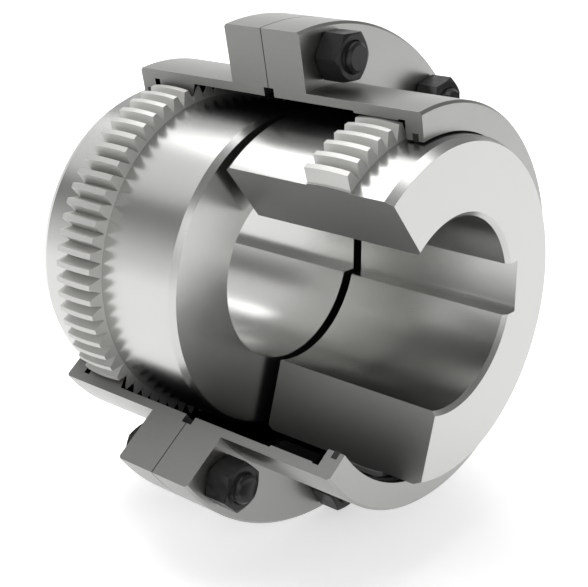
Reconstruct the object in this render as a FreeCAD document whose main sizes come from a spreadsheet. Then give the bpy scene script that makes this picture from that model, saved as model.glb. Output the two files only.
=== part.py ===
import FreeCAD, Part
import math
import os
import Sketcher

# Flanged gear coupling, shown with a window cut out of its shell and one hub.
# X runs along the shafts, Z is up, and the origin is the centre of the
# left hub's bore at its inner end.

doc = FreeCAD.newDocument("gear_coupling")

# Sizes in millimetres and degrees
SIZES = [
    ("hub_gap", 5.0),
    ("hub_length", 91.0),
    ("hub_overhang", 9.8),
    ("bore_radius", 44.0),
    ("bore_bevel", 2.0),
    ("inner_bevel_length", 3.0),
    ("outer_bevel_length", 4.0),
    ("bevel_height", 2.0),
    ("key_width", 25.0),
    ("key_depth", 6.0),
    ("tooth_count", 72.0),
    ("tooth_length", 23.0),
    ("tooth_rise", 2.7),
    ("tooth_depth", 5.6),
    ("tooth_addendum", 2.6),
    ("tooth_share", 0.585),
    ("tooth_slope", 0.33),
    ("tooth_backlash", 0.3),
    ("crown_arc", 78.0),
    ("hob_runout", 4.0),
    ("left_phase", 1.4),
    ("right_phase", 4.2),
    ("barrel_radius", 92.5),
    ("barrel_wall", 4.2),
    ("barrel_bevel", 1.2),
    ("bore_step", 1.0),
    ("tip_clearance", 0.5),
    ("ring_clearance", 0.6),
    ("ring_lead", 1.9),
    ("ring_slant", 2.4),
    ("ring_inset", 1.1),
    ("relief_depth", 0.6),
    ("lip_gap", 2.3),
    ("lip_width", 3.3),
    ("lip_land", 2.6),
    ("lip_clearance", 0.9),
    ("seal_width", 3.0),
    ("seal_height", 3.85),
    ("seal_clearance", 0.35),
    ("notch_width", 2.9),
    ("notch_depth", 4.1),
    ("gasket_thickness", 0.5),
    ("flange_thickness", 22.0),
    ("flange_margin", 14.0),
    ("flange_bevel", 1.2),
    ("bolt_count", 8.0),
    ("bolt_radius", 7.0),
    ("bolt_hole_clearance", 0.3),
    ("bolt_overhang", 3.2),
    ("bolt_bevel", 1.2),
    ("spanner_room", 3.0),
    ("head_flats", 21.0),
    ("head_height", 8.8),
    ("nut_height", 12.8),
    ("nut_bore_play", 0.05),
    ("window_start", 10.8),
    ("window_end", 125.7),
    ("hub_window_start", 38.9),
    ("hub_window_end", 163.4),
    ("plug_angle", 112.5),
    ("plug_radius", 4.9),
    ("plug_length", 9.0),
    ("plug_recess", 0.5),
    ("plug_socket_flats", 5.0),
    ("plug_socket_depth", 4.5),
]

sheet = doc.addObject("Spreadsheet::Sheet", "Sizes")
for row, (word, number) in enumerate(SIZES, start=1):
    sheet.set("A%d" % row, word)
    sheet.set("B%d" % row, str(number))
    sheet.setAlias("B%d" % row, word)
doc.recompute()


# A size knows its number and the words that lead back to the sheet
class Size:
    def __init__(self, number, words):
        self.number = float(number)
        self.words = words

    def join(self, other, sign, number):
        return Size(number, "(%s %s %s)" % (self.words, sign, other.words))

    def __add__(self, other):
        other = as_size(other)
        return self.join(other, "+", self.number + other.number)

    def __sub__(self, other):
        other = as_size(other)
        return self.join(other, "-", self.number - other.number)

    def __mul__(self, other):
        other = as_size(other)
        return self.join(other, "*", self.number * other.number)

    def __truediv__(self, other):
        other = as_size(other)
        return self.join(other, "/", self.number / other.number)

    def __neg__(self):
        return as_size(0.0) - self


def as_size(value):
    if isinstance(value, Size):
        return value
    return Size(value, "%.6f" % value if value >= 0 else "(0 - %.6f)" % -value)


def sine(angle):
    return Size(math.sin(math.radians(angle.number)), "sin(%s)" % angle.words)


def cosine(angle):
    return Size(math.cos(math.radians(angle.number)), "cos(%s)" % angle.words)


def square_root(value):
    return Size(math.sqrt(value.number), "sqrt(%s)" % value.words)


def size(word):
    return Size(sheet.get(word), "Sizes.%s" % word)


# Radii from the barrel inwards to the hub, each a named step from the one before
shell_bore = size("barrel_radius") - size("barrel_wall")
ring_root = shell_bore - size("bore_step")
tooth_tip = ring_root - size("tip_clearance")
tooth_root = tooth_tip - size("tooth_depth")
tooth_pitch = tooth_tip - size("tooth_addendum")
ring_tip = tooth_root + size("ring_clearance")
hub_radius = tooth_root - size("tooth_rise")
relief_radius = ring_root + size("relief_depth")
lip_radius = hub_radius + size("lip_clearance")
seal_bore = hub_radius + size("seal_clearance")
seal_radius = seal_bore + size("seal_height")
key_reach = size("bore_radius") + size("key_depth")

# Radii from the barrel outwards to the flange's rim
notch_radius = shell_bore + size("notch_depth")
bolt_circle = size("barrel_radius") + size("head_flats") / 2 + size("spanner_room")
flange_radius = bolt_circle + size("flange_margin")

# Places along the axis, measured from the joint between the flanges
joint_x = size("hub_gap") / 2
half_gasket = size("gasket_thickness") / 2
hub_inner = size("hub_gap") / 2
hub_outer = hub_inner + size("hub_length")
sleeve_reach = hub_outer - size("hub_overhang")
seal_end = sleeve_reach - size("lip_land")
seal_start = seal_end - size("seal_width")
lip_start = seal_start - size("lip_width")
tooth_end = lip_start - size("lip_gap")
tooth_start = tooth_end - size("tooth_length")
tooth_middle = (tooth_start + tooth_end) / 2
relief_start = tooth_end - size("ring_inset")
ring_start = tooth_start - size("ring_lead")
bolt_length = size("flange_thickness") * 2 + size("nut_height") + size("bolt_overhang")


def along(side, distance):
    return joint_x + distance * side


def new_body(label):
    body = doc.addObject("PartDesign::Body", label)
    body.Label = label
    body.Placement = FreeCAD.Placement()
    return body


def origin_item(body, role):
    for item in body.Origin.OriginFeatures:
        if item.Role == role:
            return item
    raise RuntimeError("no origin item " + role)


def new_sketch(body, name, role):
    sketch = body.newObject("Sketcher::SketchObject", name)
    sketch.AttachmentSupport = [(origin_item(body, role), "")]
    sketch.MapMode = "FlatFace"
    return sketch


# Ties one point of a sketch to two sizes measured from the sketch's origin
def pin_point(sketch, geometry, point, x, y):
    for kind, value in (("DistanceX", x), ("DistanceY", y)):
        index = sketch.addConstraint(
            Sketcher.Constraint(kind, -1, 1, geometry, point, value.number)
        )
        sketch.setExpression("Constraints[%d]" % index, value.words)


# Closed outline through the given corners, straight but for the sides in arcs
def outline(sketch, corners, arcs=None):
    points = [(as_size(x), as_size(y)) for x, y in corners]
    count = len(points)
    first = sketch.GeometryCount
    starts = []
    ends = []
    for i in range(count):
        start = flat_point(points[i])
        end = flat_point(points[(i + 1) % count])
        turned = False
        if arcs and i in arcs:
            crest, radius = arcs[i]
            middle = flat_point(crest)
            turned = (middle - start).cross(end - middle).z < 0
            sketch.addGeometry(Part.Arc(start, middle, end), False)
            index = sketch.addConstraint(Sketcher.Constraint("Radius", first + i, radius.number))
            sketch.setExpression("Constraints[%d]" % index, radius.words)
        else:
            sketch.addGeometry(Part.LineSegment(start, end), False)
        # An arc is kept anticlockwise, so a clockwise one has its ends swapped
        starts.append(2 if turned else 1)
        ends.append(1 if turned else 2)
    for i in range(count):
        j = (i + 1) % count
        sketch.addConstraint(
            Sketcher.Constraint("Coincident", first + i, ends[i], first + j, starts[j])
        )
    for i in range(count):
        pin_point(sketch, first + i, starts[i], *points[i])


def flat_point(corner):
    return FreeCAD.Vector(corner[0].number, corner[1].number, 0)


def revolve_profile(body, sketch, name, kind="Revolution"):
    feature = body.newObject("PartDesign::" + kind, name)
    feature.Profile = sketch
    feature.ReferenceAxis = (sketch, ["H_Axis"])
    feature.Angle = 360
    body.Tip = feature
    return feature


def round_pattern(body, feature, name, count):
    pattern = body.newObject("PartDesign::PolarPattern", name)
    pattern.Originals = [feature]
    pattern.Axis = (origin_item(body, "X_Axis"), [""])
    pattern.Angle = 360
    pattern.setExpression("Occurrences", count.words)
    body.Tip = pattern
    return pattern


# Cuts straight along X through the whole piece
def cut_through(body, sketch, name):
    pocket = body.newObject("PartDesign::Pocket", name)
    pocket.Profile = sketch
    pocket.Type = "ThroughAll"
    pocket.SideType = "Symmetric"
    body.Tip = pocket
    return pocket


# Clock angle seen from the right end: nought is up and plus is away from the window
def clock_point(radius, angle):
    return (radius * sine(angle), radius * cosine(angle))


# Wedge with its point on the axis, from one clock angle round to another
def cut_window(body, name, start, end):
    sketch = new_sketch(body, name + "_sketch", "YZ_Plane")
    reach = flange_radius * 3
    middle = (start + end) / 2
    corners = [(as_size(0.0), as_size(0.0)), clock_point(reach, -start),
               clock_point(reach, -middle), clock_point(reach, -end)]
    outline(sketch, corners)
    cut_through(body, sketch, name)


def set_plane_offset(sketch, x, clock):
    sketch.AttachmentOffset = FreeCAD.Placement(
        FreeCAD.Vector(0, 0, x.number),
        FreeCAD.Rotation(FreeCAD.Vector(0, 0, 1), -clock.number),
    )
    sketch.setExpression("AttachmentOffset.Base.z", x.words)
    sketch.setExpression("AttachmentOffset.Rotation.Angle", (-clock).words)


# Thickness of a tooth on the pitch circle, as a share of the pitch
tooth_thickness = tooth_pitch * (2 * math.pi) / size("tooth_count") * size("tooth_share")


# Half of the space between two hub teeth at a radius
def half_space(radius):
    pitch = radius * (2 * math.pi) / size("tooth_count")
    thin = tooth_thickness - (radius - tooth_pitch) * size("tooth_slope") * 2
    return (pitch - thin) / 2


# Half of the space between two ring teeth at a radius
def half_ring_space(radius):
    wide = tooth_thickness + size("tooth_backlash")
    return (wide - (radius - tooth_pitch) * size("tooth_slope") * 2) / 2


# How far a crown arc has dropped at a distance from its middle
def crown_drop(distance):
    arc = size("crown_arc")
    return arc - square_root(arc * arc - distance * distance)


# Hub blank turned from bar, with a barrel-shaped band left for the teeth
def hub_blank(body, side):
    sketch = new_sketch(body, "blank_sketch", "XZ_Plane")
    edge = tooth_tip - crown_drop(size("tooth_length") / 2)
    bevel_top = hub_radius - size("bevel_height")
    corners = [
        (along(side, hub_inner), size("bore_radius")),
        (along(side, hub_inner), bevel_top),
        (along(side, hub_inner + size("inner_bevel_length")), hub_radius),
        (along(side, tooth_start), hub_radius),
        (along(side, tooth_start), edge),
        (along(side, tooth_end), edge),
        (along(side, tooth_end), hub_radius),
        (along(side, hub_outer - size("outer_bevel_length")), hub_radius),
        (along(side, hub_outer), bevel_top),
        (along(side, hub_outer), size("bore_radius") + size("bore_bevel")),
        (along(side, hub_outer - size("bore_bevel")), size("bore_radius")),
    ]
    crest = (along(side, tooth_middle), tooth_tip)
    outline(sketch, corners, arcs={4: (crest, size("crown_arc"))})
    return revolve_profile(body, sketch, "blank")


# One space between two teeth, swept along an arc so that each tooth is crowned
def hub_tooth_space(body, side, phase):
    sketch = new_sketch(body, "space_sketch", "YZ_Plane")
    half_pitch = as_size(180.0) / size("tooth_count")
    set_plane_offset(sketch, along(side, tooth_middle), phase + half_pitch)
    low = tooth_root
    high = tooth_tip + 1
    corners = [
        (-half_space(low), low),
        (half_space(low), low),
        (half_space(high), high),
        (-half_space(high), high),
    ]
    outline(sketch, corners)
    pivot = tooth_tip - size("crown_arc")
    span = 10.0
    axis = sketch.addGeometry(
        Part.LineSegment(FreeCAD.Vector(-span, pivot.number, 0),
                         FreeCAD.Vector(span, pivot.number, 0)), True
    )
    pin_point(sketch, axis, 1, as_size(-span), pivot)
    pin_point(sketch, axis, 2, as_size(span), pivot)
    groove = body.newObject("PartDesign::Groove", "space")
    groove.Profile = sketch
    groove.ReferenceAxis = (sketch, ["Axis0"])
    groove.Midplane = True
    sweep = (size("tooth_length") + size("hob_runout") * 2) / size("crown_arc") * (180 / math.pi)
    groove.setExpression("Angle", sweep.words)
    body.Tip = groove
    return groove


# Keyway broached along the bore on the side away from the window
def keyway(body):
    sketch = new_sketch(body, "keyway_sketch", "YZ_Plane")
    half = size("key_width") / 2
    near = size("bore_radius") / 2
    corners = [(near, -half), (key_reach, -half), (key_reach, half), (near, half)]
    outline(sketch, corners)
    cut_through(body, sketch, "keyway")


# Toothed hub: the side is minus one for the left and one for the right
def make_hub(label, side, phase, window):
    body = new_body(label)
    hub_blank(body, side)
    doc.recompute()
    space = hub_tooth_space(body, side, phase)
    round_pattern(body, space, "teeth", size("tooth_count"))
    keyway(body)
    if window:
        cut_window(body, "window", size("hub_window_start"), size("hub_window_end"))
    return body


# Shell half: flange, barrel, toothed band, oil relief and sealing lip in one turning
def shell_blank(body, side):
    sketch = new_sketch(body, "shell_sketch", "XZ_Plane")
    flange = size("flange_thickness")
    barrel = size("barrel_radius")
    corners = [
        (half_gasket, notch_radius),
        (half_gasket, flange_radius),
        (flange - size("flange_bevel"), flange_radius),
        (flange, flange_radius - size("flange_bevel")),
        (flange, barrel),
        (sleeve_reach - size("barrel_bevel"), barrel),
        (sleeve_reach, barrel - size("barrel_bevel")),
        (sleeve_reach, lip_radius),
        (seal_end, lip_radius),
        (seal_end, seal_radius),
        (seal_start, seal_radius),
        (seal_start, lip_radius),
        (lip_start, lip_radius),
        (lip_start, relief_radius),
        (relief_start, relief_radius),
        (relief_start, ring_tip),
        (ring_start + size("ring_slant"), ring_tip),
        (ring_start, shell_bore),
        (size("notch_width"), shell_bore),
        (size("notch_width"), notch_radius),
    ]
    outline(sketch, [(along(side, x), y) for x, y in corners])
    return revolve_profile(body, sketch, "shell")


# One straight space between two inner teeth, shaped through the band only
def ring_tooth_space(body, side, phase):
    sketch = new_sketch(body, "ring_space_sketch", "YZ_Plane")
    set_plane_offset(sketch, along(side, ring_start - 3), phase)
    low = ring_tip - 1
    high = ring_root
    corners = [
        (-half_ring_space(low), low),
        (half_ring_space(low), low),
        (half_ring_space(high), high),
        (-half_ring_space(high), high),
    ]
    outline(sketch, corners)
    pocket = body.newObject("PartDesign::Pocket", "ring_space")
    pocket.Profile = sketch
    pocket.Type = "Length"
    pocket.Reversed = side > 0
    pocket.setExpression("Length", (relief_start - ring_start + 4).words)
    body.Tip = pocket
    return pocket


def round_hole(body, name, radius):
    sketch = new_sketch(body, name + "_sketch", "YZ_Plane")
    centre = FreeCAD.Vector(0, bolt_circle.number, 0)
    circle = sketch.addGeometry(
        Part.Circle(centre, FreeCAD.Vector(0, 0, 1), radius.number), False
    )
    index = sketch.addConstraint(Sketcher.Constraint("Radius", circle, radius.number))
    sketch.setExpression("Constraints[%d]" % index, radius.words)
    pin_point(sketch, circle, 3, as_size(0.0), bolt_circle)
    return cut_through(body, sketch, name)


# Threaded grease hole drilled in from the flange's rim at the back
def grease_hole(body, side):
    sketch = new_sketch(body, "grease_hole_sketch", "XY_Plane")
    tilt = size("plug_angle")
    middle = (half_gasket + size("flange_thickness")) / 2
    sketch.AttachmentOffset = FreeCAD.Placement(
        FreeCAD.Vector(0, 0, 0), FreeCAD.Rotation(FreeCAD.Vector(1, 0, 0), -tilt.number)
    )
    sketch.setExpression("AttachmentOffset.Rotation.Angle", (-tilt).words)
    centre = along(side, middle)
    circle = sketch.addGeometry(
        Part.Circle(FreeCAD.Vector(centre.number, 0, 0), FreeCAD.Vector(0, 0, 1),
                    size("plug_radius").number), False
    )
    index = sketch.addConstraint(
        Sketcher.Constraint("Radius", circle, size("plug_radius").number)
    )
    sketch.setExpression("Constraints[%d]" % index, size("plug_radius").words)
    pin_point(sketch, circle, 3, centre, as_size(0.0))
    pocket = body.newObject("PartDesign::Pocket", "grease_hole")
    pocket.Profile = sketch
    pocket.Type = "Length"
    pocket.Reversed = True
    pocket.setExpression("Length", (flange_radius + 5).words)
    body.Tip = pocket


# Flanged shell half with straight inner teeth
def make_sleeve(label, side, phase):
    body = new_body(label)
    shell_blank(body, side)
    doc.recompute()
    space = ring_tooth_space(body, side, phase)
    round_pattern(body, space, "ring_teeth", size("tooth_count"))
    hole = round_hole(body, "bolt_hole", size("bolt_radius") + size("bolt_hole_clearance"))
    round_pattern(body, hole, "bolt_holes", size("bolt_count"))
    grease_hole(body, side)
    cut_window(body, "window", size("window_start"), size("window_end"))
    return body


# Square-section ring, cut by the same window as the shell
def make_ring(label, corners, holes=False):
    body = new_body(label)
    sketch = new_sketch(body, "ring_sketch", "XZ_Plane")
    outline(sketch, corners)
    revolve_profile(body, sketch, "ring")
    if holes:
        doc.recompute()
        hole = round_hole(body, "bolt_hole", size("bolt_radius") + size("bolt_hole_clearance"))
        round_pattern(body, hole, "bolt_holes", size("bolt_count"))
    cut_window(body, "window", size("window_start"), size("window_end"))
    return body


def make_seal(label, side):
    corners = [
        (along(side, seal_start), seal_bore),
        (along(side, seal_end), seal_bore),
        (along(side, seal_end), seal_radius),
        (along(side, seal_start), seal_radius),
    ]
    return make_ring(label, corners)


def make_gasket(label):
    corners = [
        (along(-1, half_gasket), notch_radius),
        (along(1, half_gasket), notch_radius),
        (along(1, half_gasket), flange_radius),
        (along(-1, half_gasket), flange_radius),
    ]
    return make_ring(label, corners, holes=True)


# Solid turned about the bolt's own line, which runs along X through the origin
def turned(name, corners):
    points = [FreeCAD.Vector(x, 0, y) for x, y in corners]
    wire = Part.makePolygon(points + points[:1])
    return Part.Face(wire).revolve(FreeCAD.Vector(), FreeCAD.Vector(1, 0, 0), 360)


# Hexagonal bar with one flat facing the flange's rim
def hexagon(start, length, flats):
    corner = flats / math.sqrt(3)
    points = []
    for k in range(7):
        turn = math.radians(60 * k + 30)
        points.append(FreeCAD.Vector(start, corner * math.sin(turn), corner * math.cos(turn)))
    return Part.Face(Part.makePolygon(points)).extrude(FreeCAD.Vector(length, 0, 0))


# Place on the bolt circle at a clock angle, with X still along the shafts
def bolt_place(clock):
    turn = FreeCAD.Rotation(FreeCAD.Vector(1, 0, 0), -clock)
    offset = turn.multVec(FreeCAD.Vector(joint_x.number, 0, bolt_circle.number))
    return FreeCAD.Placement(offset, turn)


def new_feature(label, shape, placement):
    feature = doc.addObject("Part::Feature", label)
    feature.Label = label
    feature.Shape = shape
    feature.Placement = placement
    return feature


# Hexagon bolt with its head on the left flange and a bevelled tip on the right
def make_bolt(label, clock):
    radius = sheet.get("bolt_radius")
    seat = -sheet.get("flange_thickness")
    tip = seat + bolt_length.number
    bevel = sheet.get("bolt_bevel")
    flats = sheet.get("head_flats")
    height = sheet.get("head_height")
    corners = [
        (seat - height / 2, 0), (seat - height / 2, radius), (tip - bevel, radius),
        (tip, radius - bevel), (tip, 0),
    ]
    crown = [
        (seat - height, 0), (seat - height, flats * 0.475),
        (seat - height + flats * 0.06, flats * 0.6), (seat, flats * 0.6), (seat, 0),
    ]
    head = hexagon(seat - height, height, flats).common(turned("crown", crown))
    shape = head.fuse(turned("shank", corners)).removeSplitter()
    return new_feature(label, shape, bolt_place(clock))


# Hexagon nut, bevelled on both faces, on the right flange
def make_nut(label, clock):
    seat = sheet.get("flange_thickness")
    height = sheet.get("nut_height")
    flats = sheet.get("head_flats")
    radius = sheet.get("bolt_radius") + sheet.get("nut_bore_play")
    slope = flats * 0.06
    body = [
        (seat, 0), (seat, flats * 0.475), (seat + slope, flats * 0.6),
        (seat + height - slope, flats * 0.6), (seat + height, flats * 0.475),
        (seat + height, 0),
    ]
    shape = hexagon(seat, height, flats).common(turned("body", body))
    hole = Part.makeCylinder(radius, height + 2, FreeCAD.Vector(seat - 1, 0, 0),
                             FreeCAD.Vector(1, 0, 0))
    return new_feature(label, shape.cut(hole), bolt_place(clock))


# Grease plug with a hexagon socket, let into the flange's rim
def make_plug(label, side):
    top = flange_radius.number - sheet.get("plug_recess")
    length = sheet.get("plug_length")
    flats = sheet.get("plug_socket_flats")
    depth = sheet.get("plug_socket_depth")
    middle = (half_gasket.number + sheet.get("flange_thickness")) / 2
    shape = Part.makeCylinder(sheet.get("plug_radius"), length,
                              FreeCAD.Vector(0, 0, top - length))
    corner = flats / math.sqrt(3)
    points = []
    for k in range(7):
        turn = math.radians(60 * k)
        points.append(FreeCAD.Vector(corner * math.sin(turn), corner * math.cos(turn), top))
    socket = Part.Face(Part.makePolygon(points)).extrude(FreeCAD.Vector(0, 0, -depth))
    shape = shape.cut(socket)
    turn = FreeCAD.Rotation(FreeCAD.Vector(1, 0, 0), -sheet.get("plug_angle"))
    offset = FreeCAD.Vector(along(side, as_size(middle)).number, 0, 0)
    return new_feature(label, shape, FreeCAD.Placement(offset, turn))


# Bolts stand at even steps round the flange, and those in the window are left out
def bolt_clocks():
    step = 360.0 / sheet.get("bolt_count")
    gap_start = -sheet.get("window_end") % 360
    gap_end = -sheet.get("window_start") % 360
    clocks = []
    for k in range(int(sheet.get("bolt_count"))):
        if not gap_start < (step * k) % 360 < gap_end:
            clocks.append(step * k)
    return clocks


pieces = [
    make_hub("hub_left", -1, size("left_phase"), False),
    make_hub("hub_right", 1, size("right_phase"), True),
    make_sleeve("sleeve_left", -1, size("left_phase")),
    make_sleeve("sleeve_right", 1, size("right_phase")),
    make_seal("seal_left", -1),
    make_seal("seal_right", 1),
    make_gasket("flange_gasket"),
    make_plug("grease_plug_left", -1),
    make_plug("grease_plug_right", 1),
]
for number, clock in enumerate(bolt_clocks(), start=1):
    pieces.append(make_bolt("bolt_%d" % number, clock))
    pieces.append(make_nut("nut_%d" % number, clock))

doc.recompute()
for item in doc.Objects:
    for word in item.State:
        if word in ("Invalid", "Error"):
            raise RuntimeError("%s is %s" % (item.Name, word))
for piece in pieces:
    if piece.Shape.isNull() or not piece.Shape.isValid() or len(piece.Shape.Solids) != 1:
        raise RuntimeError("%s has no single valid solid" % piece.Label)

os.makedirs("parts", exist_ok=True)
for piece in pieces:
    piece.Shape.exportStep("parts/%s.step" % piece.Label)
    print("%s %.1f mm3" % (piece.Label, piece.Shape.Volume))
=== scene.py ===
import math

import bmesh
import bpy
from mathutils import Matrix, Vector


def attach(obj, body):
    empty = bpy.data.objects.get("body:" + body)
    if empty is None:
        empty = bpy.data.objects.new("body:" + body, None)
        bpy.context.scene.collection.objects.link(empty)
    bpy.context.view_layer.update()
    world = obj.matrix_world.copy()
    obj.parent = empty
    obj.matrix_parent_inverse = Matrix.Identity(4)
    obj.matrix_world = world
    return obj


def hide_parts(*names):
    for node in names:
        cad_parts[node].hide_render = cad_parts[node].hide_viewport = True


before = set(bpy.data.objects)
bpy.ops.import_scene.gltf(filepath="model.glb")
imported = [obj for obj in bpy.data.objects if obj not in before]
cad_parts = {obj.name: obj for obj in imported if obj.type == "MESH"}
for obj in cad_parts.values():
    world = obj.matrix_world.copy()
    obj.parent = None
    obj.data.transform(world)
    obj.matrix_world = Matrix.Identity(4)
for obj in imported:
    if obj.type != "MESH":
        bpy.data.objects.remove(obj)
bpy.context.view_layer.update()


# Left hub: alloy steel, turned all over from bar, with a barrel-shaped band whose crowned
# teeth are hobbed on an arc. It is bored and broached for the driving shaft's key.
MM = 0.001
JOINT_X = 2.5 * MM
HUB_INNER, HUB_LENGTH, HUB_RADIUS = 2.5 * MM, 91.0 * MM, 78.5 * MM
BORE_RADIUS, BORE_BEVEL = 44.0 * MM, 2.0 * MM
INNER_BEVEL, OUTER_BEVEL, BEVEL_HEIGHT = 3.0 * MM, 4.0 * MM, 2.0 * MM
KEY_WIDTH, KEY_REACH = 25.0 * MM, 50.0 * MM
TEETH = 72
TOOTH_START, TOOTH_LENGTH = 49.5 * MM, 23.0 * MM
# The root lies 1.0 mm deeper than in the solids
TIP_RADIUS, ROOT_RADIUS, PITCH_RADIUS = 86.8 * MM, 80.2 * MM, 84.2 * MM
TOOTH_THICKNESS, TOOTH_SLOPE, BACKLASH = 4.3 * MM, 0.33, 0.3 * MM
# Teeth are sunk a little into the body, and end just short of the band's faces
TOOTH_SINK, TOOTH_END_GAP = 0.8 * MM, 0.02 * MM
CROWN_ARC = 78.0 * MM
LEFT_PHASE, RIGHT_PHASE = 1.4, 4.2


def linear(hex_colour):
    parts = [int(hex_colour[i:i + 2], 16) / 255 for i in (1, 3, 5)]
    light = [c / 12.92 if c <= 0.04045 else ((c + 0.055) / 1.055) ** 2.4 for c in parts]
    return tuple(light + [1.0])


def node(tree, kind, settings=(), inputs=()):
    made = tree.nodes.new(kind)
    for name, value in dict(settings).items():
        setattr(made, name, value)
    for name, value in dict(inputs).items():
        if isinstance(value, bpy.types.NodeSocket):
            tree.links.new(value, made.inputs[name])
        else:
            made.inputs[name].default_value = value
    return made


def on_axis(x, radius, clock):
    turn = math.radians(clock)
    return Vector((x, radius * math.sin(turn), radius * math.cos(turn)))


def spun(profile, start=0.0, sweep=360.0, steps=240):
    bm = bmesh.new()
    ring = [bm.verts.new(on_axis(x, r, start)) for x, r in profile]
    edges = [bm.edges.new((ring[i], ring[(i + 1) % len(ring)])) for i in range(len(ring))]
    whole = sweep > 359.9
    bmesh.ops.spin(bm, geom=ring + edges, cent=(0, 0, 0), axis=(-1, 0, 0),
                   angle=math.radians(sweep), steps=steps, use_merge=whole)
    if not whole:
        rims = [e for e in bm.edges if len(e.link_faces) == 1]
        bmesh.ops.edgeloop_fill(bm, edges=rims)
    bmesh.ops.remove_doubles(bm, verts=bm.verts, dist=1e-6)
    bmesh.ops.recalc_face_normals(bm, faces=bm.faces)
    return bm


def finished_piece(name, bm, materials, body, bevel=0.3 * MM, stand_for=(), choose=None):
    if choose:
        bm.normal_update()
        for face in bm.faces:
            face.material_index = choose(face.calc_center_median(), face.normal)
    # Outer edges get a small bevel, and inner corners stay sharp
    weight = bm.edges.layers.float.new("bevel_weight_edge")
    for face in bm.faces:
        face.smooth = True
    for line in bm.edges:
        sharp = line.is_manifold and line.calc_face_angle() > math.radians(24)
        line[weight] = 1.0 if sharp and line.is_convex else 0.0
        line.smooth = not (sharp and not line.is_convex)
    mesh = bpy.data.meshes.new(name)
    bm.to_mesh(mesh)
    bm.free()
    for material in materials:
        mesh.materials.append(material)
    piece = bpy.data.objects.new(name, mesh)
    bpy.context.scene.collection.objects.link(piece)
    if bevel:
        edge = piece.modifiers.new("edge", "BEVEL")
        edge.width = bevel
        edge.segments = 2
        edge.limit_method = "WEIGHT"
        edge.harden_normals = True
    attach(piece, body)
    if stand_for:
        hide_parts(*stand_for)
    return piece


def cut_from(bm, cutter):
    meshes = []
    for part in (bm, cutter):
        mesh = bpy.data.meshes.new("part")
        part.to_mesh(mesh)
        meshes.append(bpy.data.objects.new("part", mesh))
        bpy.context.scene.collection.objects.link(meshes[-1])
    cut = meshes[0].modifiers.new("cut", "BOOLEAN")
    cut.operation = "DIFFERENCE"
    cut.solver = "EXACT"
    cut.object = meshes[1]
    view = meshes[0].evaluated_get(bpy.context.evaluated_depsgraph_get())
    result = bmesh.new()
    result.from_mesh(view.to_mesh())
    view.to_mesh_clear()
    for item in meshes:
        mesh = item.data
        bpy.data.objects.remove(item)
        bpy.data.meshes.remove(mesh)
    bm.free()
    cutter.free()
    return result


def block(low, high):
    bm = bmesh.new()
    bmesh.ops.create_cube(bm, size=1.0)
    centre = (Vector(low) + Vector(high)) / 2
    span = Vector(high) - Vector(low)
    bmesh.ops.scale(bm, vec=span, verts=bm.verts)
    bmesh.ops.translate(bm, vec=centre, verts=bm.verts)
    return bm


def half_space(radius):
    thin = TOOTH_THICKNESS - 2 * TOOTH_SLOPE * (radius - PITCH_RADIUS)
    return (2 * math.pi * radius / TEETH - thin) / 2


def arc_radius(top, x):
    pivot = TIP_RADIUS - CROWN_ARC
    return pivot + math.sqrt((top - pivot) ** 2 - x ** 2)


def hub_profile(side):
    start, end = TOOTH_START, TOOTH_START + TOOTH_LENGTH
    middle, half = (start + end) / 2, TOOTH_LENGTH / 2
    outer = HUB_INNER + HUB_LENGTH
    points = [(HUB_INNER, BORE_RADIUS), (HUB_INNER, HUB_RADIUS - BEVEL_HEIGHT),
              (HUB_INNER + INNER_BEVEL, HUB_RADIUS), (start, HUB_RADIUS)]
    for k in range(9):
        x = -half + TOOTH_LENGTH * k / 8
        points.append((middle + x, arc_radius(ROOT_RADIUS, x)))
    points += [(end, HUB_RADIUS), (outer - OUTER_BEVEL, HUB_RADIUS),
               (outer, HUB_RADIUS - BEVEL_HEIGHT), (outer, BORE_RADIUS + BORE_BEVEL),
               (outer - BORE_BEVEL, BORE_RADIUS)]
    return [(JOINT_X + side * x, r) for x, r in points]


def crowned_tooth(side):
    middle, half, stations = TOOTH_START + TOOTH_LENGTH / 2, TOOTH_LENGTH / 2 - TOOTH_END_GAP, 8
    pivot = TIP_RADIUS - CROWN_ARC

    def section(x):
        tip = arc_radius(TIP_RADIUS, x)
        base = arc_radius(ROOT_RADIUS, x) - TOOTH_SINK
        corners = []
        for radius, sign in ((base, -1), (tip, -1), (tip, 1), (base, 1)):
            tool = pivot + math.sqrt((radius - pivot) ** 2 + x ** 2)
            flank = math.pi * radius / TEETH - half_space(tool)
            corners.append(Vector((JOINT_X + side * (middle + x), sign * flank, radius)))
        return corners

    bm = bmesh.new()
    face = bm.faces.new([bm.verts.new(c) for c in section(-half)])
    for k in range(1, stations + 1):
        before = face
        made = bmesh.ops.extrude_face_region(bm, geom=[before], use_keep_orig=True)
        face = [g for g in made["geom"] if isinstance(g, bmesh.types.BMFace)][0]
        if k > 1:
            bmesh.ops.delete(bm, geom=[before], context="FACES_ONLY")
        for vert, place in zip(face.verts, section(-half + 2 * half * k / stations)):
            vert.co = place
    bmesh.ops.recalc_face_normals(bm, faces=bm.faces)
    return bm


def add_teeth(bm, tooth, clocks):
    mesh = bpy.data.meshes.new("tooth")
    for clock in clocks:
        copy = tooth.copy()
        bmesh.ops.rotate(copy, verts=copy.verts, cent=(0, 0, 0),
                         matrix=Matrix.Rotation(math.radians(-clock), 3, "X"))
        copy.to_mesh(mesh)
        bm.from_mesh(mesh)
        copy.free()
    bpy.data.meshes.remove(mesh)


def in_arc(clock, start, end):
    return (clock - start) % 360 <= end - start


def tooth_clocks(phase, start=0.0, end=360.0, margin=0.0):
    pitch = 360.0 / TEETH
    clocks = [phase + pitch * k for k in range(TEETH)]
    return [c for c in clocks if in_arc(c, start + margin, end - margin)]


def key_slot():
    return block((-0.12, BORE_RADIUS / 2, -KEY_WIDTH / 2), (0.12, KEY_REACH, KEY_WIDTH / 2))


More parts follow.
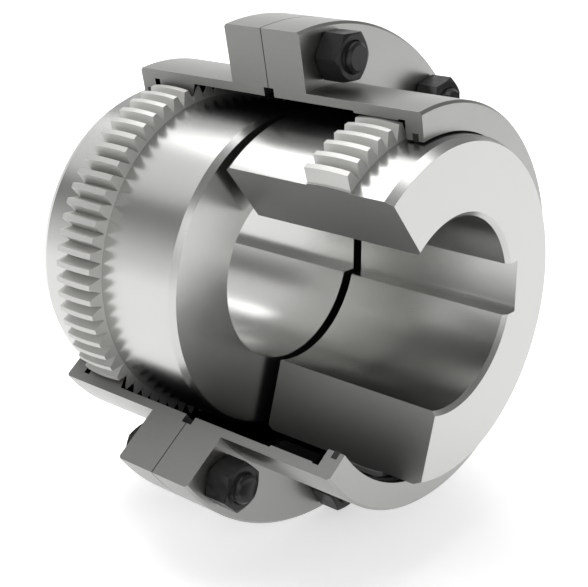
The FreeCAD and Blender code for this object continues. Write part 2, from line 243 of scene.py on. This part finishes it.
# Turned steel: bright, with fine tool rings that run round the axis, so the
# reflections are drawn out along the shaft and break up a little.
def turned_steel(name, colour, rough, ring_mm=0.35, depth=0.004, metal=1.0):
    material = bpy.data.materials.new(name)
    material.use_nodes = True
    tree = material.node_tree
    shader = tree.nodes["Principled BSDF"]
    shader.inputs["Metallic"].default_value = metal
    place = node(tree, "ShaderNodeTexCoord").outputs["Object"]
    split = node(tree, "ShaderNodeSeparateXYZ", inputs={0: place})
    flat = node(tree, "ShaderNodeCombineXYZ", inputs={0: split.outputs[1], 1: split.outputs[2]})
    far = node(tree, "ShaderNodeVectorMath", {"operation": "LENGTH"}, {0: flat.outputs[0]})
    rings = node(tree, "ShaderNodeCombineXYZ", inputs={
        0: split.outputs[0], 1: far.outputs["Value"]})
    tool = node(tree, "ShaderNodeTexNoise", inputs={
        "Vector": rings.outputs[0], "Scale": 1.0 / (ring_mm * MM), "Detail": 3.0})
    cloud = node(tree, "ShaderNodeTexNoise", inputs={
        "Vector": place, "Scale": 1.0 / (18 * MM), "Detail": 4.0})
    tone = node(tree, "ShaderNodeMapRange", inputs={
        0: cloud.outputs["Fac"], 1: 0.3, 2: 0.7, 3: rough * 0.95, 4: rough * 1.05})
    tree.links.new(tone.outputs[0], shader.inputs["Roughness"])
    tint = node(tree, "ShaderNodeMix", {"data_type": "RGBA"}, {0: tool.outputs["Fac"]})
    tint.inputs[6].default_value = tuple([c * 0.93 for c in linear(colour)[:3]] + [1.0])
    tint.inputs[7].default_value = linear(colour)
    tree.links.new(tint.outputs[2], shader.inputs["Base Color"])
    bump = node(tree, "ShaderNodeBump", inputs={
        "Strength": 0.25, "Distance": depth * MM, "Height": tool.outputs["Fac"]})
    tree.links.new(bump.outputs[0], shader.inputs["Normal"])
    return material


# Teeth are left as the hob cuts them, duller and greyer than the turned faces beside them
hub_steel = turned_steel("bright_turned_steel", "#C2C2C0", 0.26)
hobbed_steel = turned_steel("hobbed_steel", "#D2D2CF", 0.48, 0.6, metal=0.5)


def radius_of(place):
    return math.hypot(place.y, place.z)


def on_teeth(place):
    middle = TOOTH_START + TOOTH_LENGTH / 2
    off = abs(abs(place.x - JOINT_X) - middle)
    return radius_of(place) > HUB_RADIUS + 0.1 * MM and off < TOOTH_LENGTH / 2 + 0.1 * MM


left_hub = spun(hub_profile(-1))
left_hub = cut_from(left_hub, key_slot())
add_teeth(left_hub, crowned_tooth(-1), tooth_clocks(LEFT_PHASE))
finished_piece("hub_left_turned", left_hub, [hub_steel, hobbed_steel], "driving_hub",
               stand_for=["hub_left"], choose=lambda place, normal: 1 if on_teeth(place) else 0)


# Right hub: the left one's twin on the driven shaft. A wedge is sawn out of it, and the
# two sawn faces are left flat and milled.
HUB_WINDOW = (-38.9, 196.6)


# Sawn steel: a flat mid grey, with the fine straight marks that the saw leaves
def sawn_steel(name, colour, rough):
    material = bpy.data.materials.new(name)
    material.use_nodes = True
    tree = material.node_tree
    shader = tree.nodes["Principled BSDF"]
    shader.inputs["Metallic"].default_value = 1.0
    place = node(tree, "ShaderNodeTexCoord").outputs["Object"]
    drawn = node(tree, "ShaderNodeMapping", inputs={"Vector": place, "Scale": (0.06, 1.0, 1.0)})
    marks = node(tree, "ShaderNodeTexNoise", inputs={
        "Vector": drawn.outputs[0], "Scale": 1.0 / (0.5 * MM), "Detail": 4.0})
    tint = node(tree, "ShaderNodeMix", {"data_type": "RGBA"}, {0: marks.outputs["Fac"]})
    tint.inputs[6].default_value = tuple([c * 0.9 for c in linear(colour)[:3]] + [1.0])
    tint.inputs[7].default_value = linear(colour)
    tree.links.new(tint.outputs[2], shader.inputs["Base Color"])
    shader.inputs["Roughness"].default_value = rough
    bump = node(tree, "ShaderNodeBump", inputs={
        "Strength": 0.15, "Distance": 0.01 * MM, "Height": marks.outputs["Fac"]})
    tree.links.new(bump.outputs[0], shader.inputs["Normal"])
    return material


def on_cut(place, normal, window):
    for edge in window:
        across = on_axis(0, 1.0, edge + 90)
        if abs(normal.dot(across)) > 0.999 and abs(place.dot(across)) < 0.05 * MM:
            return True
    return False


def right_hub_finish(place, normal):
    if on_cut(place, normal, HUB_WINDOW):
        return 2
    return 1 if on_teeth(place) else 0


right_hub = spun(hub_profile(1), HUB_WINDOW[0], HUB_WINDOW[1] - HUB_WINDOW[0])
right_hub = cut_from(right_hub, key_slot())
add_teeth(right_hub, crowned_tooth(1), tooth_clocks(RIGHT_PHASE, *HUB_WINDOW, margin=1.0))
sawn_hub = sawn_steel("sawn_hub_steel", "#9C9C9A", 0.5)
finished_piece("hub_right_turned", right_hub, [hub_steel, hobbed_steel, sawn_hub], "driven_hub",
               stand_for=["hub_right"], choose=right_hub_finish)


# Shell halves: forged and turned steel, each a flange, a barrel with straight inner teeth,
# an oil relief and a lip with a seal groove. The window is sawn through both together.
SHELL_WINDOW = (-10.8, 234.3)
SHELL_REACH, FLANGE_RADIUS, FLANGE_THICKNESS = 83.7 * MM, 120.0 * MM, 22.0 * MM
FLANGE_BEVEL, BARREL_RADIUS, BARREL_BEVEL = 1.2 * MM, 92.5 * MM, 1.2 * MM
SHELL_BORE, RING_TIP, RING_ROOT = 88.3 * MM, 81.8 * MM, 87.3 * MM
RING_START, RING_SLANT, RELIEF_START, RELIEF_RADIUS = 47.6 * MM, 2.4 * MM, 71.4 * MM, 87.9 * MM
LIP_START, LIP_RADIUS = 74.8 * MM, 79.4 * MM
SEAL_START, SEAL_WIDTH, SEAL_RADIUS, SEAL_BORE = 78.1 * MM, 3.0 * MM, 82.7 * MM, 78.85 * MM
NOTCH_WIDTH, NOTCH_RADIUS, HALF_GASKET = 2.9 * MM, 92.4 * MM, 0.25 * MM


def shell_profile(side):
    slant = RING_SLANT * (SHELL_BORE - RING_ROOT) / (SHELL_BORE - RING_TIP)
    seal_end = SEAL_START + SEAL_WIDTH
    points = [
        (HALF_GASKET, NOTCH_RADIUS), (HALF_GASKET, FLANGE_RADIUS),
        (FLANGE_THICKNESS - FLANGE_BEVEL, FLANGE_RADIUS),
        (FLANGE_THICKNESS, FLANGE_RADIUS - FLANGE_BEVEL),
        (FLANGE_THICKNESS, BARREL_RADIUS), (SHELL_REACH - BARREL_BEVEL, BARREL_RADIUS),
        (SHELL_REACH, BARREL_RADIUS - BARREL_BEVEL), (SHELL_REACH, LIP_RADIUS),
        (seal_end, LIP_RADIUS), (seal_end, SEAL_RADIUS), (SEAL_START, SEAL_RADIUS),
        (SEAL_START, LIP_RADIUS), (LIP_START, LIP_RADIUS), (LIP_START, RELIEF_RADIUS),
        (RELIEF_START, RELIEF_RADIUS), (RELIEF_START, RING_ROOT),
        (RING_START + slant, RING_ROOT), (RING_START, SHELL_BORE),
        (NOTCH_WIDTH, SHELL_BORE), (NOTCH_WIDTH, NOTCH_RADIUS)]
    return [(JOINT_X + side * x, r) for x, r in points]


def half_ring_tooth(radius):
    wide = TOOTH_THICKNESS + BACKLASH - 2 * TOOTH_SLOPE * (radius - PITCH_RADIUS)
    return math.pi * radius / TEETH - wide / 2


def ring_tooth(side):
    base = RING_ROOT + 0.5 * MM
    bm = bmesh.new()
    corners = []
    for radius, sign in ((base, -1), (RING_TIP, -1), (RING_TIP, 1), (base, 1)):
        x = RING_START + RING_SLANT * (SHELL_BORE - radius) / (SHELL_BORE - RING_TIP)
        corners.append(bm.verts.new((JOINT_X + side * x, sign * half_ring_tooth(radius), radius)))
    face = bm.faces.new(corners)
    made = bmesh.ops.extrude_face_region(bm, geom=[face], use_keep_orig=True)
    for vert in [g for g in made["geom"] if isinstance(g, bmesh.types.BMVert)]:
        vert.co.x = JOINT_X + side * (RELIEF_START - TOOTH_END_GAP)
    bmesh.ops.recalc_face_normals(bm, faces=bm.faces)
    return bm


# Each half tooth that the saw leaves at the window's edges is closed flat
def sawn_tooth(side, clock, edge, keep_up):
    tooth = ring_tooth(side)
    bmesh.ops.rotate(tooth, verts=tooth.verts, cent=(0, 0, 0),
                     matrix=Matrix.Rotation(math.radians(-clock), 3, "X"))
    normal = on_axis(0, 1.0, edge + 90) * (-1 if keep_up else 1)
    cut = bmesh.ops.bisect_plane(tooth, geom=tooth.verts[:] + tooth.edges[:] + tooth.faces[:],
                                 plane_co=normal * -0.01 * MM, plane_no=normal,
                                 clear_outer=True)
    rims = [e for e in cut["geom_cut"] if isinstance(e, bmesh.types.BMEdge)]
    bmesh.ops.edgeloop_fill(tooth, edges=rims)
    bmesh.ops.recalc_face_normals(tooth, faces=tooth.faces)
    return tooth


def rod(start, end, radius, clock, circle, steps=48):
    bm = bmesh.new()
    bmesh.ops.create_cone(bm, cap_ends=True, segments=steps, radius1=radius, radius2=radius,
                          depth=end - start)
    bmesh.ops.rotate(bm, verts=bm.verts, cent=(0, 0, 0),
                     matrix=Matrix.Rotation(math.pi / 2, 3, "Y"))
    place = on_axis((start + end) / 2, circle, clock)
    bmesh.ops.translate(bm, vec=place, verts=bm.verts)
    return bm


BOLT_CIRCLE, BOLT_RADIUS, BOLT_PLAY = 106.0 * MM, 7.0 * MM, 0.3 * MM
BOLT_CLOCKS = [0, 45, 90, 135, 180, 225]
PLUG_CLOCK, PLUG_RADIUS, PLUG_X = 112.5, 4.9 * MM, (0.25 + 22.0) / 2 * MM


def shell_half(side, phase):
    bm = spun(shell_profile(side), SHELL_WINDOW[0], SHELL_WINDOW[1] - SHELL_WINDOW[0], 200)
    for clock in BOLT_CLOCKS:
        bm = cut_from(bm, rod(-0.05, 0.05, BOLT_RADIUS + BOLT_PLAY, clock, BOLT_CIRCLE))
    drill = bmesh.new()
    bmesh.ops.create_cone(drill, cap_ends=True, segments=48, radius1=PLUG_RADIUS,
                          radius2=PLUG_RADIUS, depth=50 * MM)
    bmesh.ops.translate(drill, verts=drill.verts, vec=(JOINT_X + side * PLUG_X, 0, 105 * MM))
    bmesh.ops.rotate(drill, verts=drill.verts, cent=(0, 0, 0),
                     matrix=Matrix.Rotation(math.radians(-PLUG_CLOCK), 3, "X"))
    bm = cut_from(bm, drill)
    pitch = 360.0 / TEETH
    add_teeth(bm, ring_tooth(side), tooth_clocks(phase + pitch / 2, *SHELL_WINDOW, margin=1.5))
    mesh = bpy.data.meshes.new("tooth")
    for clock in tooth_clocks(phase + pitch / 2):
        for edge, keep_up in ((SHELL_WINDOW[0], True), (SHELL_WINDOW[1], False)):
            off = (clock - edge + 180) % 360 - 180
            if abs(off) < 1.5:
                half = sawn_tooth(side, clock, edge, keep_up)
                half.to_mesh(mesh)
                bm.from_mesh(mesh)
                half.free()
    bpy.data.meshes.remove(mesh)
    return bm


# The inside is painted near-black, a painted shade that makes the gaps beside the teeth read as
# black
shell_steel = turned_steel("satin_turned_steel", "#A6A6A4", 0.34)
sawn_shell = sawn_steel("sawn_shell_steel", "#8E8E8C", 0.55)
interior_painted_shade_steel = turned_steel("interior_painted_shade_steel", "#060605", 0.6)


def shell_finish(place, normal):
    if on_cut(place, normal, SHELL_WINDOW):
        return 1
    outward = normal.x * (1 if place.x > JOINT_X else -1)
    # Faces inside the shell's bore, its teeth too, get the near-black painted shade
    inside = radius_of(place) < SHELL_BORE + 0.2 * MM
    if inside and not (outward > 0.5 and abs(place.x - JOINT_X) > SHELL_REACH - 0.1 * MM):
        return 2
    return 0


for name, side, phase in (("left", -1, LEFT_PHASE), ("right", 1, RIGHT_PHASE)):
    finished_piece("shell_" + name, shell_half(side, phase),
                   [shell_steel, sawn_shell, interior_painted_shade_steel], "shell",
                   stand_for=["sleeve_" + name], choose=shell_finish)


# Seals: black nitrile rings of square section, pressed into the lips' grooves, where they
# keep the grease in. The saw has cut them flush with the shell.
def nitrile_rubber():
    material = bpy.data.materials.new("black_nitrile_rubber")
    material.use_nodes = True
    tree = material.node_tree
    shader = tree.nodes["Principled BSDF"]
    place = node(tree, "ShaderNodeTexCoord").outputs["Object"]
    grain = node(tree, "ShaderNodeTexNoise", inputs={
        "Vector": place, "Scale": 1.0 / (0.8 * MM), "Detail": 4.0})
    tint = node(tree, "ShaderNodeMix", {"data_type": "RGBA"}, {0: grain.outputs["Fac"]})
    tint.inputs[6].default_value = linear("#141413")
    tint.inputs[7].default_value = linear("#262624")
    tree.links.new(tint.outputs[2], shader.inputs["Base Color"])
    shader.inputs["Roughness"].default_value = 0.6
    bump = node(tree, "ShaderNodeBump", inputs={
        "Strength": 0.3, "Distance": 0.05 * MM, "Height": grain.outputs["Fac"]})
    tree.links.new(bump.outputs[0], shader.inputs["Normal"])
    return material


seal_rubber = nitrile_rubber()
for name, side in (("left", -1), ("right", 1)):
    ends = [(SEAL_START, SEAL_BORE), (SEAL_START + SEAL_WIDTH, SEAL_BORE),
            (SEAL_START + SEAL_WIDTH, SEAL_RADIUS), (SEAL_START, SEAL_RADIUS)]
    ring = spun([(JOINT_X + side * x, r) for x, r in ends], SHELL_WINDOW[0],
                SHELL_WINDOW[1] - SHELL_WINDOW[0], 160)
    finished_piece("seal_ring_" + name, ring, [seal_rubber], "shell", 0.2 * MM,
                   stand_for=["seal_" + name])


# Flange gasket: a thin dark fibre sheet, punched for the bolts and squeezed between the
# flanges, where only its edge shows as a fine line.
def fibre_sheet():
    material = bpy.data.materials.new("dark_fibre_gasket")
    material.use_nodes = True
    tree = material.node_tree
    shader = tree.nodes["Principled BSDF"]
    place = node(tree, "ShaderNodeTexCoord").outputs["Object"]
    fibre = node(tree, "ShaderNodeTexNoise", inputs={
        "Vector": place, "Scale": 1.0 / (0.5 * MM), "Detail": 5.0})
    tint = node(tree, "ShaderNodeMix", {"data_type": "RGBA"}, {0: fibre.outputs["Fac"]})
    tint.inputs[6].default_value = linear("#1B1B1A")
    tint.inputs[7].default_value = linear("#343432")
    tree.links.new(tint.outputs[2], shader.inputs["Base Color"])
    shader.inputs["Roughness"].default_value = 0.8
    return material


GASKET_REACH = 119.7 * MM
ends = [(-HALF_GASKET, NOTCH_RADIUS), (HALF_GASKET, NOTCH_RADIUS),
        (HALF_GASKET, GASKET_REACH), (-HALF_GASKET, GASKET_REACH)]
gasket = spun([(JOINT_X + x, r) for x, r in ends], SHELL_WINDOW[0],
              SHELL_WINDOW[1] - SHELL_WINDOW[0], 200)
for clock in BOLT_CLOCKS:
    gasket = cut_from(gasket, rod(-0.05, 0.05, BOLT_RADIUS + BOLT_PLAY, clock, BOLT_CIRCLE))
finished_piece("flange_gasket_sheet", gasket, [fibre_sheet()], "shell", 0,
               stand_for=["flange_gasket"])


# Grease plugs: plain steel screws with a hexagon socket, let into the flanges' rims at the
# back, where the coupling is filled.
PLUG_TOP, PLUG_LENGTH, SOCKET_FLATS, SOCKET_DEPTH = 119.5 * MM, 9.0 * MM, 5.0 * MM, 4.5 * MM


def hexagon(flats, low, high):
    bm = bmesh.new()
    bmesh.ops.create_cone(bm, cap_ends=True, segments=6, radius1=flats / math.sqrt(3),
                          radius2=flats / math.sqrt(3), depth=high - low)
    bmesh.ops.translate(bm, verts=bm.verts, vec=(0, 0, (low + high) / 2))
    return bm


plug_steel = turned_steel("plain_steel_plug", "#8A8A88", 0.35)
for name, side in (("left", -1), ("right", 1)):
    plug = bmesh.new()
    bmesh.ops.create_cone(plug, cap_ends=True, segments=48, radius1=PLUG_RADIUS - 0.05 * MM,
                          radius2=PLUG_RADIUS - 0.05 * MM, depth=PLUG_LENGTH)
    bmesh.ops.translate(plug, verts=plug.verts, vec=(0, 0, PLUG_TOP - PLUG_LENGTH / 2))
    plug = cut_from(plug, hexagon(SOCKET_FLATS, PLUG_TOP - SOCKET_DEPTH, PLUG_TOP + 1 * MM))
    bmesh.ops.translate(plug, verts=plug.verts, vec=(JOINT_X + side * PLUG_X, 0, 0))
    bmesh.ops.rotate(plug, verts=plug.verts, cent=(0, 0, 0),
                     matrix=Matrix.Rotation(math.radians(-PLUG_CLOCK), 3, "X"))
    finished_piece("grease_screw_" + name, plug, [plug_steel], "shell", 0.25 * MM,
                   stand_for=["grease_plug_" + name])


# Bolts: hexagon-headed, forged and rolled in high-tensile steel with a black oxide skin,
# passed through both flanges with the heads on the left.
BOLT_SEAT, BOLT_TIP = -22.0 * MM, 38.0 * MM
HEAD_FLATS, HEAD_HEIGHT, FASTENER_BEVEL = 21.0 * MM, 8.8 * MM, 0.25 * MM
THREAD_PITCH, THREAD_LENGTH = 2.0 * MM, 34.0 * MM


def black_oxide():
    material = bpy.data.materials.new("black_oxide_steel")
    material.use_nodes = True
    tree = material.node_tree
    shader = tree.nodes["Principled BSDF"]
    shader.inputs["Metallic"].default_value = 0.6
    place = node(tree, "ShaderNodeTexCoord").outputs["Object"]
    cloud = node(tree, "ShaderNodeTexNoise", inputs={
        "Vector": place, "Scale": 1.0 / (3 * MM), "Detail": 5.0})
    tint = node(tree, "ShaderNodeMix", {"data_type": "RGBA"}, {0: cloud.outputs["Fac"]})
    tint.inputs[6].default_value = linear("#232322")
    tint.inputs[7].default_value = linear("#333332")
    tree.links.new(tint.outputs[2], shader.inputs["Base Color"])
    rough = node(tree, "ShaderNodeMapRange", inputs={
        0: cloud.outputs["Fac"], 1: 0.3, 2: 0.7, 3: 0.32, 4: 0.48})
    tree.links.new(rough.outputs[0], shader.inputs["Roughness"])
    bump = node(tree, "ShaderNodeBump", inputs={
        "Strength": 0.2, "Distance": 0.02 * MM, "Height": cloud.outputs["Fac"]})
    tree.links.new(bump.outputs[0], shader.inputs["Normal"])
    return material


def turned_solid(profile, steps=48):
    bm = bmesh.new()
    verts = [bm.verts.new((r, 0, z)) for z, r in profile]
    edges = [bm.edges.new((verts[i], verts[i + 1])) for i in range(len(verts) - 1)]
    bmesh.ops.spin(bm, geom=verts + edges, cent=(0, 0, 0), axis=(0, 0, 1), angle=2 * math.pi,
                   steps=steps, use_merge=True)
    bmesh.ops.remove_doubles(bm, verts=bm.verts, dist=1e-6)
    bmesh.ops.edgeloop_fill(bm, edges=[e for e in bm.edges if len(e.link_faces) == 1])
    bmesh.ops.recalc_face_normals(bm, faces=bm.faces)
    return bm


def set_on_circle(bm, clock):
    turn = Matrix.Rotation(math.radians(-clock), 4, "X")
    bm.transform(turn @ Matrix.Translation((JOINT_X, 0, BOLT_CIRCLE))
                 @ Matrix.Rotation(math.radians(90), 4, "Y"))
    return bm


def threaded_shank():
    ridge = BOLT_RADIUS
    valley = BOLT_RADIUS - 0.61 * THREAD_PITCH
    profile = [(BOLT_SEAT - HEAD_HEIGHT / 2, ridge)]
    z = BOLT_TIP - THREAD_LENGTH
    profile.append((z, ridge))
    while z + THREAD_PITCH < BOLT_TIP - 0.6 * MM:
        profile += [(z + 0.45 * THREAD_PITCH, valley), (z + 0.55 * THREAD_PITCH, valley),
                    (z + 0.94 * THREAD_PITCH, ridge), (z + THREAD_PITCH, ridge)]
        z += THREAD_PITCH
    profile += [(BOLT_TIP - 1.2 * MM, ridge - 0.15 * MM), (BOLT_TIP, ridge - 1.3 * MM)]
    return turned_solid(profile)


def bevelled_hexagon(low, high, bevel_low, bevel_high):
    slope, wide, flat = HEAD_FLATS * 0.06, HEAD_FLATS * 0.6, HEAD_FLATS * 0.475
    profile = [(low, flat), (low + slope, wide)] if bevel_low else [(low, wide)]
    profile += [(high - slope, wide), (high, flat)] if bevel_high else [(high, wide)]
    outside = turned_solid(profile, 96)
    stock = block((-0.05, -0.05, low - 0.01), (0.05, 0.05, high + 0.01))
    around = cut_from(stock, hexagon(HEAD_FLATS, low - 0.02, high + 0.02))
    return cut_from(outside, around)


oxide = black_oxide()
for number, clock in enumerate(BOLT_CLOCKS, start=1):
    bolt = threaded_shank()
    head = bevelled_hexagon(BOLT_SEAT - HEAD_HEIGHT, BOLT_SEAT, True, False)
    mesh = bpy.data.meshes.new("head")
    head.to_mesh(mesh)
    bolt.from_mesh(mesh)
    head.free()
    bpy.data.meshes.remove(mesh)
    finished_piece("hexagon_bolt_%d" % number, set_on_circle(bolt, clock), [oxide], "shell",
                   FASTENER_BEVEL, stand_for=["bolt_%d" % number])


# Nuts: hexagon, bevelled on both faces and tapped through, black like the bolts and
# tightened against the right flange.
NUT_SEAT, NUT_HEIGHT = 22.0 * MM, 12.8 * MM

for number, clock in enumerate(BOLT_CLOCKS, start=1):
    nut = bevelled_hexagon(NUT_SEAT, NUT_SEAT + NUT_HEIGHT, True, True)
    hole = turned_solid([(NUT_SEAT - 1 * MM, BOLT_RADIUS + 1.5 * MM),
                         (NUT_SEAT + 0.6 * MM, BOLT_RADIUS - 0.1 * MM),
                         (NUT_SEAT + NUT_HEIGHT - 0.8 * MM, BOLT_RADIUS - 0.1 * MM),
                         (NUT_SEAT + NUT_HEIGHT + 1 * MM, BOLT_RADIUS + 1.7 * MM)])
    nut = cut_from(nut, hole)
    finished_piece("hexagon_nut_%d" % number, set_on_circle(nut, clock), [oxide], "shell",
                   FASTENER_BEVEL, stand_for=["nut_%d" % number])


# Floor: a plain pale studio floor that keeps the object's shadow. To the camera and in
# reflections it is lifted to white, less near the object, which paints shade onto the floor round
# it where the shadow lies.
FLOOR_Z, LIFT_FROM, LIFT_TO, NEAR_LIFT, FAR_LIFT = -121.0 * MM, 0.2, 1.1, 0.54, 0.8
bm = bmesh.new()
bmesh.ops.create_grid(bm, x_segments=1, y_segments=1, size=6.0)
bmesh.ops.translate(bm, verts=bm.verts, vec=(0, 0, FLOOR_Z))
mesh = bpy.data.meshes.new("studio_floor")
bm.to_mesh(mesh)
bm.free()
floor = bpy.data.objects.new("studio_floor", mesh)
bpy.context.scene.collection.objects.link(floor)
material = bpy.data.materials.new("white_floor")
material.use_nodes = True
tree = material.node_tree
shader = tree.nodes["Principled BSDF"]
shader.inputs["Base Color"].default_value = linear("#F2F2F2")
shader.inputs["Roughness"].default_value = 0.9


def background_rays(tree):
    ray = node(tree, "ShaderNodeLightPath").outputs
    seen = node(tree, "ShaderNodeMath", {"operation": "ADD"},
                {0: ray["Is Camera Ray"], 1: ray["Is Glossy Ray"]})
    return node(tree, "ShaderNodeMath", {"operation": "ADD"},
                {0: seen.outputs[0], 1: ray["Is Transmission Ray"]}).outputs[0]


place = node(tree, "ShaderNodeTexCoord").outputs["Object"]
far = node(tree, "ShaderNodeVectorMath", {"operation": "LENGTH"}, {0: place})
# Painted shade: the floor's glow is weakest near the object and rises with distance
glow = node(tree, "ShaderNodeMapRange", {"interpolation_type": "SMOOTHSTEP"}, {
    0: far.outputs["Value"], 1: LIFT_FROM, 2: LIFT_TO, 3: NEAR_LIFT, 4: FAR_LIFT})
lift = node(tree, "ShaderNodeMath", {"operation": "MULTIPLY"},
            {0: background_rays(tree), 1: glow.outputs[0]})
shader.inputs["Emission Color"].default_value = (1, 1, 1, 1)
tree.links.new(lift.outputs[0], shader.inputs["Emission Strength"])
mesh.materials.append(material)


# Light: an even pale room with a large soft lamp overhead, and weaker ones behind, at the
# left and at the front.
ROOM_LEVEL, CEILING_LEVEL, CEILING_SINE = 0.32, 0.28, 0.42
world = bpy.data.worlds.new("studio")
bpy.context.scene.world = world
world.use_nodes = True
tree = world.node_tree
back = tree.nodes["Background"]
back.inputs["Color"].default_value = (1.0, 1.0, 1.0, 1)
# The camera sees white all round. Metal sees it at the horizon, with a dimmer ceiling above
ray = node(tree, "ShaderNodeLightPath").outputs
sky = node(tree, "ShaderNodeSeparateXYZ", inputs={
    0: node(tree, "ShaderNodeTexCoord").outputs["Generated"]})
ceiling = node(tree, "ShaderNodeMapRange", {"interpolation_type": "SMOOTHSTEP"}, {
    0: sky.outputs[2], 1: 0.0, 2: CEILING_SINE, 3: 1.0, 4: CEILING_LEVEL})
level = node(tree, "ShaderNodeMapRange", inputs={
    0: background_rays(tree), 1: 0.0, 2: 1.0, 3: ROOM_LEVEL, 4: ceiling.outputs[0]})
strength = node(tree, "ShaderNodeMath", {"operation": "MAXIMUM"},
                {0: level.outputs[0], 1: ray["Is Camera Ray"]})
tree.links.new(strength.outputs[0], back.inputs["Strength"])


def soft_lamp(name, place, aim, size, watts):
    lamp = bpy.data.lights.new(name, "AREA")
    lamp.shape = "RECTANGLE"
    lamp.size, lamp.size_y = size
    lamp.energy = watts
    holder = bpy.data.objects.new(name, lamp)
    holder.location = place
    holder.rotation_euler = (Vector(aim) - Vector(place)).to_track_quat("-Z", "Y").to_euler()
    bpy.context.scene.collection.objects.link(holder)
    return holder


soft_lamp("top_softbox", (-0.3, 0.2, 1.3), (0, 0, 0), (1.2, 1.2), 14)
soft_lamp("back_softbox", (-0.9, 1.1, 0.62), (0, 0, 0.05), (1.4, 0.8), 1.5)
soft_lamp("left_softbox", (-0.75, -0.2, 0.9), (0, 0, 0), (0.9, 0.8), 1.8)
soft_lamp("front_softbox", (0.9, -1.1, 0.7), (0, 0, 0), (0.8, 0.8), 3)


# Camera: at the photograph's angle and distance, about 0.6 m from the middle of the
# coupling, with the focal length in pixels of its 588-pixel frame.
AZIMUTH, ELEVATION, TILT = 40.712, 19.925, -0.029
DISTANCE, SHIFT_RIGHT, SHIFT_UP, FOCUS = 603.683 * MM, 0.129 * MM, -11.270 * MM, 1250.566
a, e, t = (math.radians(v) for v in (AZIMUTH, ELEVATION, TILT))
out = Vector((math.sin(a) * math.cos(e), -math.cos(a) * math.cos(e), math.sin(e)))
right = Vector((math.cos(a), math.sin(a), 0))
up = out.cross(right)
right, up = right * math.cos(t) + up * math.sin(t), up * math.cos(t) - right * math.sin(t)
camera = bpy.data.objects.new("camera", bpy.data.cameras.new("camera"))
camera.data.sensor_width = 36.0
camera.data.lens = 36.0 * FOCUS / 588
camera.data.clip_start = 0.01
camera.data.clip_end = 50
place = Vector((JOINT_X, 0, 0)) + right * SHIFT_RIGHT + up * SHIFT_UP + out * DISTANCE
turn = Matrix((right, up, out)).transposed().to_4x4()
camera.matrix_world = Matrix.Translation(place) @ turn
bpy.context.scene.collection.objects.link(camera)
bpy.context.scene.camera = camera
bpy.context.scene.view_settings.view_transform = "Standard"
